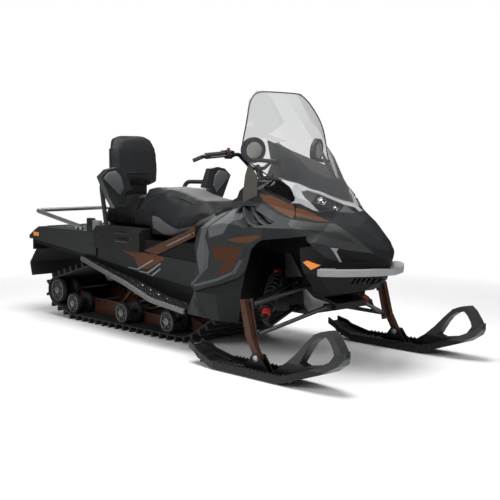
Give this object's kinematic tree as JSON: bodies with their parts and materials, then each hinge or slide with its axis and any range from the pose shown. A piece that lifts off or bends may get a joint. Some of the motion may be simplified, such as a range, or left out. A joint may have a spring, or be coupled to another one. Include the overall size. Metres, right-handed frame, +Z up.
{
  "type": "snowmobile",
  "caption": "Two-up utility snowmobile with steered skis, a wide track, a tall windshield, a backrest and a rear cargo deck.",
  "frame": {"origin": "on the snow, midway between the tail flap and the ski tips, in the plane of symmetry", "axes": "+X forward, +Y to the machine's left, +Z up"},
  "size_m": [3.116, 1.25, 1.4141],
  "materials": {
    "black_sheet": "satin",
    "bare_alloy": "satin",
    "black_plastic": "matte",
    "deck_plastic": "matte",
    "copper_paint": "satin",
    "rack_paint": "satin",
    "flap_rubber": "matte",
    "lamp_red": "gloss",
    "track_rubber": "matte",
    "wheel_rubber": "matte",
    "axle_steel": "satin",
    "graphite_paint": "gloss",
    "silver_trim": "satin",
    "lamp_clear": "gloss",
    "bumper_silver": "satin",
    "shield_clear": "gloss",
    "smoked_plastic": "gloss",
    "mirror_plastic": "satin",
    "gauge_grey": "satin",
    "engine_alloy": "matte",
    "shock_steel": "satin",
    "ski_plastic": "satin",
    "runner_steel": "satin",
    "bar_black": "satin",
    "grip_rubber": "matte",
    "seat_vinyl": "matte"
  },
  "bodies": {
    "chassis": {"tunnel": "black_sheet", "running_boards": "black_sheet", "board_rails": "bare_alloy", "tunnel_covers": "black_plastic", "seat_braces": "copper_paint", "cargo_deck": "deck_plastic", "rear_rack": "rack_paint", "tail_plate": "black_sheet", "snow_flap": "flap_rubber", "rear_lamps": "lamp_red", "track": "track_rubber", "skid_wheels": "wheel_rubber", "skid_axles": "axle_steel", "skid_rails": "copper_paint", "skid_arms": "copper_paint", "hood": "graphite_paint", "headlight_surround": "silver_trim", "headlamps": "lamp_clear", "side_panels": "graphite_paint", "nose": "graphite_paint", "belly_pan": "black_plastic", "front_bumper": "bumper_silver", "windshield": "shield_clear", "fairing": "smoked_plastic", "mirrors": "mirror_plastic", "console": "black_plastic", "gauge": "gauge_grey", "front_frame": "black_sheet", "engine_block": "engine_alloy", "front_arms": "bar_black", "front_shocks": "shock_steel", "seat_base": "black_plastic", "driver_seat": "seat_vinyl", "passenger_seat": "seat_vinyl", "backrest_pad": "seat_vinyl", "backrest_frame": "bar_black", "hand_guards": "black_plastic"},
    "handlebar": {"handlebar": "bar_black", "hand_controls": "grip_rubber"},
    "ski_right": {"spindle_right": "copper_paint", "ski_right": "ski_plastic", "ski_runner_right": "runner_steel"},
    "ski_left": {"spindle_left": "copper_paint", "ski_left": "ski_plastic", "ski_runner_left": "runner_steel"}
  },
  "joints": [
    {"name": "handlebar_turn", "type": "hinge", "parent": "chassis", "child": "handlebar", "pos_m": [0.452, 0, 0.94], "axis": [-0.5, 0, 0.866], "range_deg": [-35, 35]},
    {"name": "ski_right_steer", "type": "hinge", "parent": "chassis", "child": "ski_right", "pos_m": [0.93, -0.5, 0.185], "axis": [-0.2472, 0, 0.969], "range_deg": [-28, 28]},
    {"name": "ski_left_steer", "type": "hinge", "parent": "chassis", "child": "ski_left", "pos_m": [0.93, 0.5, 0.185], "axis": [-0.2472, 0, 0.969], "range_deg": [-28, 28]}
  ],
  "couplings": [
    {"joint": "ski_right_steer", "follows": "handlebar_turn", "ratio": 0.8},
    {"joint": "ski_left_steer", "follows": "handlebar_turn", "ratio": 0.8}
  ]
}
